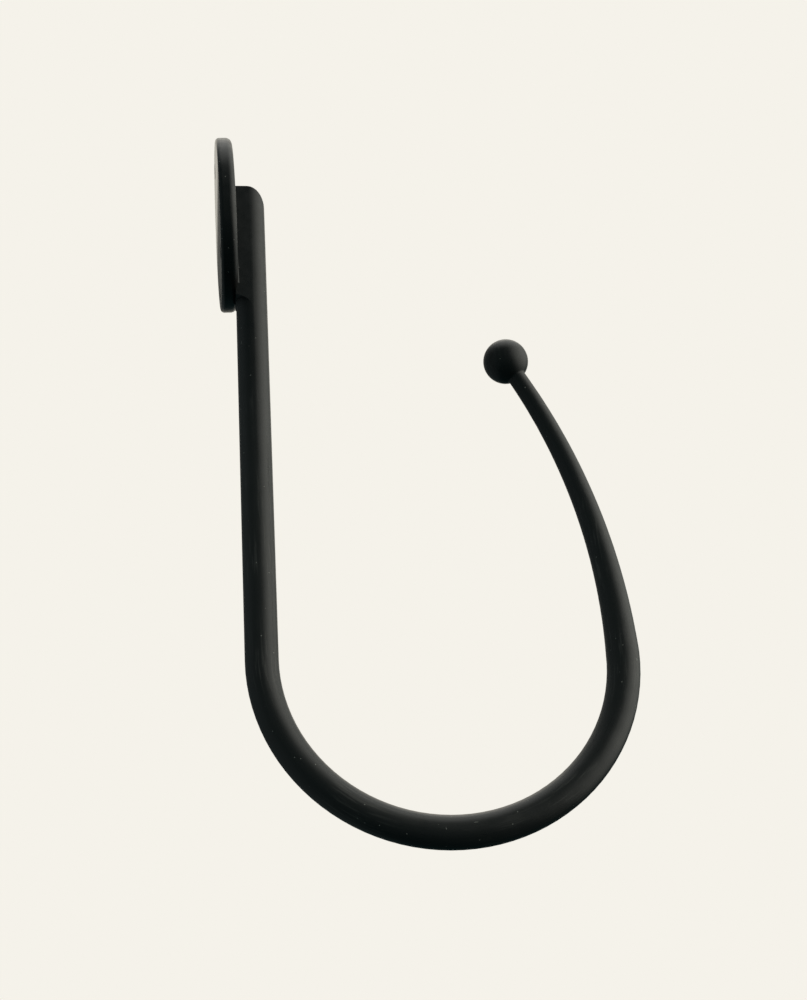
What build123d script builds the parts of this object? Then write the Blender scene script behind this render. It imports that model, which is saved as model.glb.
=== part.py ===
from build123d import *

import os
from math import cos, radians, sin, sqrt

os.makedirs("parts", exist_ok=True)

# Curtain holdback: a hook bent from round steel bar on a round wall plate, with a ball on its tip.
# The frame is in millimetres. The origin is the centre of the plate's back face, which lies on the
# wall, +X points away from the wall and +Z up. The hook lies in the XZ plane.

# Wall plate
plate_diameter = 45.5
plate_thickness = 4.2
plate_front_rounding = 1.6
plate_back_rounding = 1.0

# Screw holes: one above the bar and one on each side of it
screw_hole_diameter = 4.2
countersink_diameter = 8.0
countersink_angle = 90.0
screw_edge_distance = 5.25
screw_bar_clearance = 1.5
screw_foot_clearance = 3.7

# Bar, from its foot on the plate to its tip in the ball
bar_diameter = 8.0
bar_stand_off = 0.1
shank_lean = 1.6
shank_drop = 123.9
bend_radius = 43.0
bend_turn = 180.0
stem_radius = 166.0
stem_turn = 27.6
stem_middle_diameter = 5.9
stem_tip_diameter = 4.6

# Foot of the bar: flat sided where it stands on the plate, with a square top whose front corner is
# rounded, and a hollow heel
foot_corner_radius = 5.0
heel_drop = 1.4
heel_hollow_radius = 5.0
heel_hollow_reach = 0.4
foot_weld_radius = 0.5

# Ball
ball_diameter = 11.5
ball_socket_depth = 5.0
ball_weld_radius = 0.7

# Places that follow from the sizes
plate_radius = plate_diameter / 2
bar_radius = bar_diameter / 2
tip_radius = stem_tip_diameter / 2
ball_radius = ball_diameter / 2
screw_circle_radius = plate_radius - screw_edge_distance
screw_side_offset = bar_radius + screw_bar_clearance + countersink_diameter / 2
screw_side_drop = sqrt(screw_circle_radius**2 - screw_side_offset**2)
screw_places = [
    (0.0, screw_circle_radius),
    (-screw_side_offset, -screw_side_drop),
    (screw_side_offset, -screw_side_drop),
]
foot_top = screw_circle_radius - countersink_diameter / 2 - screw_foot_clearance
foot_depth = bar_radius + bar_stand_off + plate_front_rounding
foot_corner_centre = (bar_radius - foot_corner_radius, foot_top - foot_corner_radius)
heel = -plate_radius - heel_drop
heel_hollow_centre = (heel_hollow_reach - heel_hollow_radius, heel - heel_hollow_radius)
plate_overhang = (-bar_radius - bar_stand_off, plate_front_rounding - plate_radius)

# The hook's own plane leans with the shank
hook_origin = Vector(plate_thickness + bar_stand_off + bar_radius, 0, 0)
outward = Vector(cos(radians(shank_lean)), 0, -sin(radians(shank_lean)))
upward = Vector(sin(radians(shank_lean)), 0, cos(radians(shank_lean)))
across = Vector(0, 1, 0)
hook_plane = Plane(origin=hook_origin, x_dir=outward, z_dir=-across)
bend_centre = hook_plane.from_local_coords(Vector(bend_radius, -shank_drop))

# Centre lines of the bend and of the stem that follows it
with BuildLine(hook_plane) as bend_line:
    CenterArc((bend_radius, -shank_drop), bend_radius, 180, bend_turn)
bend_end = bend_line.line @ 1
bend_heading = bend_line.line % 1

with BuildLine(Plane(origin=bend_end, x_dir=bend_heading, z_dir=-across)) as stem_line:
    CenterArc((0, stem_radius), stem_radius, -90, stem_turn)
stem_end = stem_line.line @ 1
stem_heading = stem_line.line % 1
ball_centre = stem_end + stem_heading * sqrt(ball_radius**2 - tip_radius**2)

# Wall plate: a turned disc with a rounded front edge and three countersunk screw holes
with BuildPart() as wall_plate:
    with BuildSketch(Plane.YZ):
        Circle(plate_radius)
    extrude(amount=plate_thickness)
    fillet(wall_plate.edges().sort_by(Axis.X)[-1], radius=plate_front_rounding)
    fillet(wall_plate.edges().sort_by(Axis.X)[0], radius=plate_back_rounding)
    with Locations(Plane.YZ.offset(plate_thickness)):
        with Locations(*screw_places):
            CounterSinkHole(
                screw_hole_diameter / 2,
                countersink_diameter / 2,
                counter_sink_angle=countersink_angle,
            )
wall_plate.part.label = "wall_plate"
export_step(wall_plate.part, "parts/wall_plate.step")

# Hook bar: foot, shank, bend and tapered stem in one piece, with a spigot that the ball sits on
with BuildPart() as hook_bar:
    # The foot, flat sided back to the plate
    foot_end = hook_plane.from_local_coords(Vector(0, heel_hollow_centre[1]))
    with BuildSketch(Plane(origin=foot_end, x_dir=outward, z_dir=upward)):
        Circle(bar_radius)
        Rectangle(foot_depth, bar_diameter, align=(Align.MAX, Align.CENTER))
    extrude(amount=foot_top - heel_hollow_centre[1])
    # Cut from it: its rounded front corner, its hollow heel and what would lie behind the plate's face
    with BuildSketch(hook_plane):
        with Locations(foot_corner_centre):
            Rectangle(2 * foot_corner_radius, 2 * foot_corner_radius, align=(Align.MIN, Align.MIN))
            Circle(foot_corner_radius, mode=Mode.SUBTRACT)
        with Locations(heel_hollow_centre):
            Circle(heel_hollow_radius)
            Rectangle(foot_depth, 2 * heel_hollow_radius, align=(Align.MAX, Align.CENTER))
        with Locations(plate_overhang):
            Rectangle(foot_depth, 2 * heel_hollow_radius, align=(Align.MAX, Align.MAX))
    extrude(amount=bar_diameter, both=True, mode=Mode.SUBTRACT)

    # The straight shank, which starts inside the foot, and the bend that follows it
    with BuildSketch(Plane(origin=hook_origin, x_dir=outward, z_dir=-upward)):
        Circle(bar_radius)
    extrude(amount=shank_drop)
    with BuildSketch(Plane(origin=bend_line.line @ 0, x_dir=across, z_dir=bend_line.line % 0)):
        Circle(bar_radius)
    revolve(axis=Axis(bend_centre, -across), revolution_arc=bend_turn)

    # The weld bead runs over the foot's top and down its sides, on the flat of the plate's face
    with BuildSketch(Plane.YZ) as plate_flat:
        Circle(plate_radius - plate_front_rounding)
    extrude(amount=plate_thickness)
    front_edges = hook_bar.edges().filter_by_position(Axis.X, plate_thickness, plate_thickness)
    fillet(front_edges.filter_by(GeomType.LINE), radius=foot_weld_radius)
    extrude(plate_flat.sketch, amount=plate_thickness, mode=Mode.SUBTRACT)
    add(wall_plate.part, mode=Mode.SUBTRACT)

    # The stem tapers from the end of the bend to the ball
    for share, diameter in ((0, bar_diameter), (0.5, stem_middle_diameter), (1, stem_tip_diameter)):
        section_plane = Plane(stem_line.line @ share, x_dir=across, z_dir=stem_line.line % share)
        with BuildSketch(section_plane):
            Circle(diameter / 2)
    sweep(path=stem_line.line, multisection=True)
    with BuildSketch(Plane(origin=stem_end, x_dir=across, z_dir=stem_heading)):
        Circle(tip_radius)
    extrude(amount=ball_socket_depth)
hook_bar.part.label = "hook_bar"
export_step(hook_bar.part, "parts/hook_bar.step")

# Ball end: a ball with a blind socket for the stem's spigot and a small weld bead round its mouth
with BuildPart() as ball_end:
    with BuildSketch(Plane(origin=ball_centre, x_dir=stem_heading, z_dir=-across)) as ball_profile:
        neck_length = ball_radius + ball_weld_radius
        Circle(ball_radius)
        with Locations((-neck_length, 0)):
            Rectangle(neck_length, stem_tip_diameter, align=(Align.MIN, Align.CENTER))
        fillet(ball_profile.vertices().group_by(Axis.X)[1], radius=ball_weld_radius)
        split(bisect_by=Plane.XZ)
    revolve(axis=Axis(ball_centre, stem_heading))
    add(hook_bar.part, mode=Mode.SUBTRACT)
ball_end.part.label = "ball_end"
export_step(ball_end.part, "parts/ball_end.step")
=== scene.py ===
from math import cos, radians, sin

import bpy
from mathutils import Matrix, Vector

# Looks of the curtain holdback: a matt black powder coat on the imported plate, hook and ball.
# The frame is the part's own, in metres: the plate's back face lies on X = 0 and +Z is up.

# Camera: it stands below the holdback, beside it, and looks up at it
IMAGE_HEIGHT = 1000
FOCAL_LENGTH = 1935.7
CAMERA_PLACE = (-0.014839, -0.420615, -0.298923)
CAMERA_HEADING = 7.681
CAMERA_RISE = 26.969
CAMERA_ROLL = -5.623
CAMERA_SENSOR = 36.0
CAMERA_CLIP = (0.01, 50.0)

# Backdrop that the camera sees, and the dim room that lights the holdback
BACKGROUND = (0.9131, 0.8880, 0.8228)
ROOM_SHADE = (0.012, 0.030, 0.032)

# Soft lights in the room: direction, cosines where the light starts and is full, colour
SIDE_LIGHT = ((0.926, -0.254, 0.278), (0.39, 1.55), (2.62, 2.60, 2.36))
BACK_LIGHT = ((0.065, 0.740, 0.669), (0.80, 0.92), (0.71, 0.65, 0.56))
TOP_LIGHT = ((0.091, 0.008, 0.996), (0.68, 1.24), (1.64, 1.63, 1.55))
ROOM_FILL = ((-0.283, -0.379, 0.881), (-0.86, 0.40), (0.049, 0.058, 0.058))
WALL_FILL = ((-0.900, 0.410, 0.100), (0.25, 0.95), (0.085, 0.088, 0.088))

# Floor, well below the holdback
FLOOR_LEVEL = -0.62
FLOOR_SIZE = 12.0
FLOOR_COLOUR = (0.80, 0.775, 0.715)
FLOOR_CLOUD_SIZE = 0.6
FLOOR_CLOUD_SHADE = 0.97
FLOOR_ROUGHNESS = 0.9
FLOOR_SPECULAR = 0.1
FLOOR_GLOW = (0.447, 0.419, 0.420)

# Powder coat: its colours, with painted shade that darkens it near the plate, and the stretch of height
# over which its own colour takes over down the bar
COAT_PAINTED_SHADE = (0.014, 0.014, 0.0135)
COAT_OWN_COLOUR = (0.026, 0.026, 0.025)
PAINTED_SHADE_FADING = (-0.030, -0.075)
COAT_WORN = (0.085, 0.082, 0.077)
DUST_COLOUR = (0.47, 0.46, 0.42)

# Roughness of the coat, from what range of the mixed noise, and the share of each noise in the mix
COAT_ROUGHNESS = (0.27, 0.37)
UNEVEN_RANGE = (0.38, 0.62)
UNEVEN_SHARES = (0.3, 0.2, 0.5)
# The plate's back is rough in its lower part and smooth above this stretch of height
BACK_FACING = (-0.5, -0.9)
BACK_ROUGHNESS = (0.60, 0.18)
BACK_SMOOTH_ABOVE = (-0.004, 0.006)

# Noise in the coat, and the relief of its waves, its orange peel and its grain
BROAD_SIZE = 0.018
FINE_SIZE = 0.0016
WAVE_SIZE = 0.009
WAVE_DEPTH = 0.00022
PEEL_SIZE = 0.0009
PEEL_DEPTH = 0.000006
GRAIN_SIZE = 0.00018
GRAIN_DEPTH = 0.0000025

# Specks and scratches: size of a cell, radius of its speck, share of the cells that hold one
DUST_SPECKS = (0.0015, 0.00015, 0.30)
SCRATCHES = (0.0020, 0.00011, 0.30)
SCRATCH_STRETCH = 6.0
SCRATCH_STRENGTH = 0.5
SPECK_CORE = 0.6
SPECK_COVER = 0.85
SPECK_ROUGHNESS = 0.4

# Rubbed streaks: they run along the bar, below its foot, where both noises are in these ranges
BEND_CENTRE = (0.04783, -0.12505)
BEND_RADIUS = 0.043
STREAK_LENGTH = 0.009
STREAK_WIDTH = 0.0006
MARKED_BELOW = (-0.024, -0.036)
STREAK_WORN = (0.55, 0.66)
BROAD_WORN = (0.42, 0.62)
WEAR_COVER = 0.7


def add_node(tree, kind, **settings):
    node = tree.nodes.new(kind)
    for name, value in settings.items():
        setattr(node, name, value)
    return node


def link(tree, source, target):
    tree.links.new(source, target)


def rgba(colour):
    return (*colour, 1.0)


def noise(tree, place, size, detail=2.0):
    node = add_node(tree, "ShaderNodeTexNoise")
    node.inputs["Scale"].default_value = 1.0 / size
    node.inputs["Detail"].default_value = detail
    link(tree, place, node.inputs["Vector"])
    return node.outputs["Fac"]


def span(tree, value, low, high, to_low=0.0, to_high=1.0, smooth=False):
    node = add_node(tree, "ShaderNodeMapRange", interpolation_type="SMOOTHSTEP" if smooth else "LINEAR")
    for name, number in zip(("From Min", "From Max", "To Min", "To Max"), (low, high, to_low, to_high)):
        node.inputs[name].default_value = number
    link(tree, value, node.inputs["Value"])
    return node.outputs["Result"]


def math(tree, operation, first, second):
    node = add_node(tree, "ShaderNodeMath", operation=operation)
    for socket, value in zip(node.inputs, (first, second)):
        if isinstance(value, (int, float)):
            socket.default_value = value
        else:
            link(tree, value, socket)
    return node.outputs["Value"]


def mix_colour(tree, share, first, second):
    node = add_node(tree, "ShaderNodeMix", data_type="RGBA")
    for socket, value in zip((node.inputs[0], node.inputs[6], node.inputs[7]), (share, first, second)):
        if isinstance(value, tuple):
            socket.default_value = rgba(value)
        else:
            link(tree, value, socket)
    return node.outputs[2]


def blend(tree, share, first, second):
    node = add_node(tree, "ShaderNodeMix")
    for socket, value in zip((node.inputs[0], node.inputs[2], node.inputs[3]), (share, first, second)):
        link(tree, value, socket)
    return node.outputs[0]


def parts_of(tree, vector):
    node = add_node(tree, "ShaderNodeSeparateXYZ")
    link(tree, vector, node.inputs["Vector"])
    return node.outputs["X"], node.outputs["Y"], node.outputs["Z"]


def joined(tree, *values):
    node = add_node(tree, "ShaderNodeCombineXYZ")
    for socket, value in zip(node.inputs, values):
        link(tree, value, socket)
    return node.outputs["Vector"]


def bump(tree, height, depth, normal=None):
    node = add_node(tree, "ShaderNodeBump")
    node.inputs["Strength"].default_value = 1.0
    node.inputs["Distance"].default_value = depth
    link(tree, height, node.inputs["Height"])
    if normal is not None:
        link(tree, normal, node.inputs["Normal"])
    return node.outputs["Normal"]


def dust_specks(tree, place, cell, radius, share):
    """Small round specks: one in some of the cells of a Voronoi grid."""
    cells = add_node(tree, "ShaderNodeTexVoronoi", feature="F1")
    cells.inputs["Scale"].default_value = 1.0 / cell
    link(tree, place, cells.inputs["Vector"])
    near = span(tree, cells.outputs["Distance"], radius / cell, SPECK_CORE * radius / cell)
    parts = add_node(tree, "ShaderNodeSeparateColor")
    link(tree, cells.outputs["Color"], parts.inputs["Color"])
    chosen = math(tree, "LESS_THAN", parts.outputs["Red"], share)
    return math(tree, "MULTIPLY", near, chosen)


def along_bar(tree, place):
    """Place as distances along and across the bar: upright on its straight parts, round in its bend."""
    x, y, z = parts_of(tree, place)
    out = math(tree, "SUBTRACT", x, BEND_CENTRE[0])
    high = math(tree, "SUBTRACT", z, BEND_CENTRE[1])
    above = math(tree, "MAXIMUM", high, 0.0)
    below = math(tree, "MAXIMUM", math(tree, "MULTIPLY", high, -1.0), 0.0)
    turn = math(tree, "MULTIPLY", math(tree, "ARCTAN2", out, below), BEND_RADIUS)
    along = math(tree, "ADD", turn, math(tree, "MULTIPLY", math(tree, "SIGN", out, 0.0), above))
    squares = math(tree, "ADD", math(tree, "MULTIPLY", out, out), math(tree, "MULTIPLY", below, below))
    return along, math(tree, "SQRT", squares, 0.0), y


def stretched(tree, bar_place, factor):
    along, from_centre, aside = bar_place
    return joined(tree, math(tree, "MULTIPLY", along, 1.0 / factor), from_centre, aside)


def coat_specks(tree, place, bar_place):
    dust = dust_specks(tree, place, *DUST_SPECKS)
    scratches = dust_specks(tree, stretched(tree, bar_place, SCRATCH_STRETCH), *SCRATCHES)
    return math(tree, "MAXIMUM", dust, math(tree, "MULTIPLY", scratches, SCRATCH_STRENGTH))


def coat_colour(tree, height, rubbed, specks):
    # Painted shade: the coat is darker near the plate and foot, and turns to its own colour down the bar
    unshaded_share = span(tree, height, *PAINTED_SHADE_FADING, smooth=True)
    colour = mix_colour(tree, unshaded_share, COAT_PAINTED_SHADE, COAT_OWN_COLOUR)
    colour = mix_colour(tree, math(tree, "MULTIPLY", rubbed, WEAR_COVER), colour, COAT_WORN)
    return mix_colour(tree, math(tree, "MULTIPLY", specks, SPECK_COVER), colour, DUST_COLOUR)


def coat_roughness(tree, height, normal, noises, specks):
    uneven = 0.0
    for value, share in zip(noises, UNEVEN_SHARES):
        uneven = math(tree, "ADD", uneven, math(tree, "MULTIPLY", value, share))
    roughness = span(tree, uneven, *UNEVEN_RANGE, *COAT_ROUGHNESS)
    behind = span(tree, parts_of(tree, normal)[0], *BACK_FACING)
    back_roughness = span(tree, height, *BACK_SMOOTH_ABOVE, *BACK_ROUGHNESS)
    roughness = blend(tree, behind, roughness, back_roughness)
    return math(tree, "ADD", roughness, math(tree, "MULTIPLY", specks, SPECK_ROUGHNESS))


def coat_relief(tree, place):
    normal = None
    for size, depth in ((WAVE_SIZE, WAVE_DEPTH), (PEEL_SIZE, PEEL_DEPTH), (GRAIN_SIZE, GRAIN_DEPTH)):
        normal = bump(tree, noise(tree, place, size, 1.0), depth, normal)
    return normal


def powder_coat():
    material = bpy.data.materials.new("black_coating")
    material.use_nodes = True
    tree = material.node_tree
    coat = tree.nodes["Principled BSDF"]
    coordinates = add_node(tree, "ShaderNodeTexCoord").outputs
    place = coordinates["Object"]
    height = parts_of(tree, place)[2]
    bar_place = along_bar(tree, place)

    broad = noise(tree, place, BROAD_SIZE, 3.0)
    fine = noise(tree, place, FINE_SIZE, 4.0)
    streak = noise(tree, stretched(tree, bar_place, STREAK_LENGTH / STREAK_WIDTH), STREAK_WIDTH, 3.0)
    marked = span(tree, height, *MARKED_BELOW)
    streak = blend(tree, marked, fine, streak)
    rubbed = math(tree, "MULTIPLY", span(tree, streak, *STREAK_WORN), span(tree, broad, *BROAD_WORN))
    rubbed = math(tree, "MULTIPLY", rubbed, marked)
    specks = coat_specks(tree, place, bar_place)

    link(tree, coat_colour(tree, height, rubbed, specks), coat.inputs["Base Color"])
    noises = (broad, fine, streak)
    roughness = coat_roughness(tree, height, coordinates["Normal"], noises, specks)
    link(tree, roughness, coat.inputs["Roughness"])
    link(tree, coat_relief(tree, place), coat.inputs["Normal"])
    return material


def floor_material():
    material = bpy.data.materials.new("studio_floor")
    material.use_nodes = True
    tree = material.node_tree
    surface = tree.nodes["Principled BSDF"]
    place = add_node(tree, "ShaderNodeTexCoord").outputs["Object"]
    cloud = noise(tree, place, FLOOR_CLOUD_SIZE)
    darker = tuple(FLOOR_CLOUD_SHADE * value for value in FLOOR_COLOUR)
    link(tree, mix_colour(tree, cloud, darker, FLOOR_COLOUR), surface.inputs["Base Color"])
    # The camera sees the floor as pale as the backdrop, and its shadow stays
    surface.inputs["Emission Color"].default_value = rgba(FLOOR_GLOW)
    link(tree, add_node(tree, "ShaderNodeLightPath").outputs["Is Camera Ray"],
         surface.inputs["Emission Strength"])
    surface.inputs["Roughness"].default_value = FLOOR_ROUGHNESS
    surface.inputs["Specular IOR Level"].default_value = FLOOR_SPECULAR
    return material


def coat_pieces(frame):
    coat = powder_coat()
    for piece in frame["nodes"].values():
        for slot in piece.material_slots:
            slot.material = coat


def make_floor():
    half = FLOOR_SIZE / 2
    mesh = bpy.data.meshes.new("floor")
    corners = [(x, y, FLOOR_LEVEL) for x, y in ((-half, -half), (half, -half), (half, half), (-half, half))]
    mesh.from_pydata(corners, [], [(0, 1, 2, 3)])
    mesh.materials.append(floor_material())
    floor = bpy.data.objects.new("floor", mesh)
    bpy.context.scene.collection.objects.link(floor)
    floor.visible_diffuse = floor.visible_glossy = False


def soft_light(tree, ray, direction, edge, colour, so_far):
    """Adds one round soft light to the world's colour."""
    facing = add_node(tree, "ShaderNodeVectorMath", operation="DOT_PRODUCT")
    facing.inputs[1].default_value = Vector(direction).normalized()
    link(tree, ray, facing.inputs[0])
    share = span(tree, facing.outputs["Value"], *edge, smooth=True)
    light = add_node(tree, "ShaderNodeVectorMath", operation="SCALE")
    light.inputs[0].default_value = colour
    link(tree, share, light.inputs["Scale"])
    total = add_node(tree, "ShaderNodeVectorMath", operation="ADD")
    link(tree, so_far, total.inputs[0])
    link(tree, light.outputs["Vector"], total.inputs[1])
    return total.outputs["Vector"]


def make_world():
    """The camera sees a plain pale backdrop. The holdback is lit by soft lights in a dim room."""
    world = bpy.data.worlds.new("studio")
    bpy.context.scene.world = world
    world.use_nodes = True
    tree = world.node_tree
    tree.nodes.clear()
    ray = add_node(tree, "ShaderNodeTexCoord").outputs["Generated"]
    shade = add_node(tree, "ShaderNodeCombineXYZ")
    for socket, value in zip(shade.inputs, ROOM_SHADE):
        socket.default_value = value
    room = shade.outputs["Vector"]
    for light in (SIDE_LIGHT, BACK_LIGHT, TOP_LIGHT, ROOM_FILL, WALL_FILL):
        room = soft_light(tree, ray, *light, room)
    camera_ray = add_node(tree, "ShaderNodeLightPath").outputs["Is Camera Ray"]
    glow = add_node(tree, "ShaderNodeBackground")
    link(tree, mix_colour(tree, camera_ray, room, BACKGROUND), glow.inputs["Color"])
    output = add_node(tree, "ShaderNodeOutputWorld")
    link(tree, glow.outputs["Background"], output.inputs["Surface"])


def make_camera():
    heading, rise, roll = (radians(angle) for angle in (CAMERA_HEADING, CAMERA_RISE, CAMERA_ROLL))
    forward = Vector((sin(heading) * cos(rise), cos(heading) * cos(rise), sin(rise)))
    level = Vector((cos(heading), -sin(heading), 0.0))
    right = level * cos(roll) + level.cross(forward) * sin(roll)
    up = right.cross(forward)
    turn = Matrix((right, up, -forward)).transposed()
    data = bpy.data.cameras.new("camera")
    data.sensor_fit = "VERTICAL"
    data.sensor_height = CAMERA_SENSOR
    data.lens = data.sensor_height * FOCAL_LENGTH / IMAGE_HEIGHT
    data.clip_start, data.clip_end = CAMERA_CLIP
    camera = bpy.data.objects.new("camera", data)
    bpy.context.scene.collection.objects.link(camera)
    camera.matrix_world = Matrix.Translation(CAMERA_PLACE) @ turn.to_4x4()
    bpy.context.scene.camera = camera


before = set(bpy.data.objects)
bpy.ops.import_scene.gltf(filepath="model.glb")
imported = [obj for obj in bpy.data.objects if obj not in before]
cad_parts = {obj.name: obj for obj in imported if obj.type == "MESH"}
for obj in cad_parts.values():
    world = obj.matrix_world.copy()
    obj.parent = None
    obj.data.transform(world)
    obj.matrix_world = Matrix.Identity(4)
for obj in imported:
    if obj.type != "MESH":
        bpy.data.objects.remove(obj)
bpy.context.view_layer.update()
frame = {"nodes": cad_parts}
bpy.context.scene.view_settings.view_transform = "Standard"
coat_pieces(frame)
make_floor()
make_world()
make_camera()
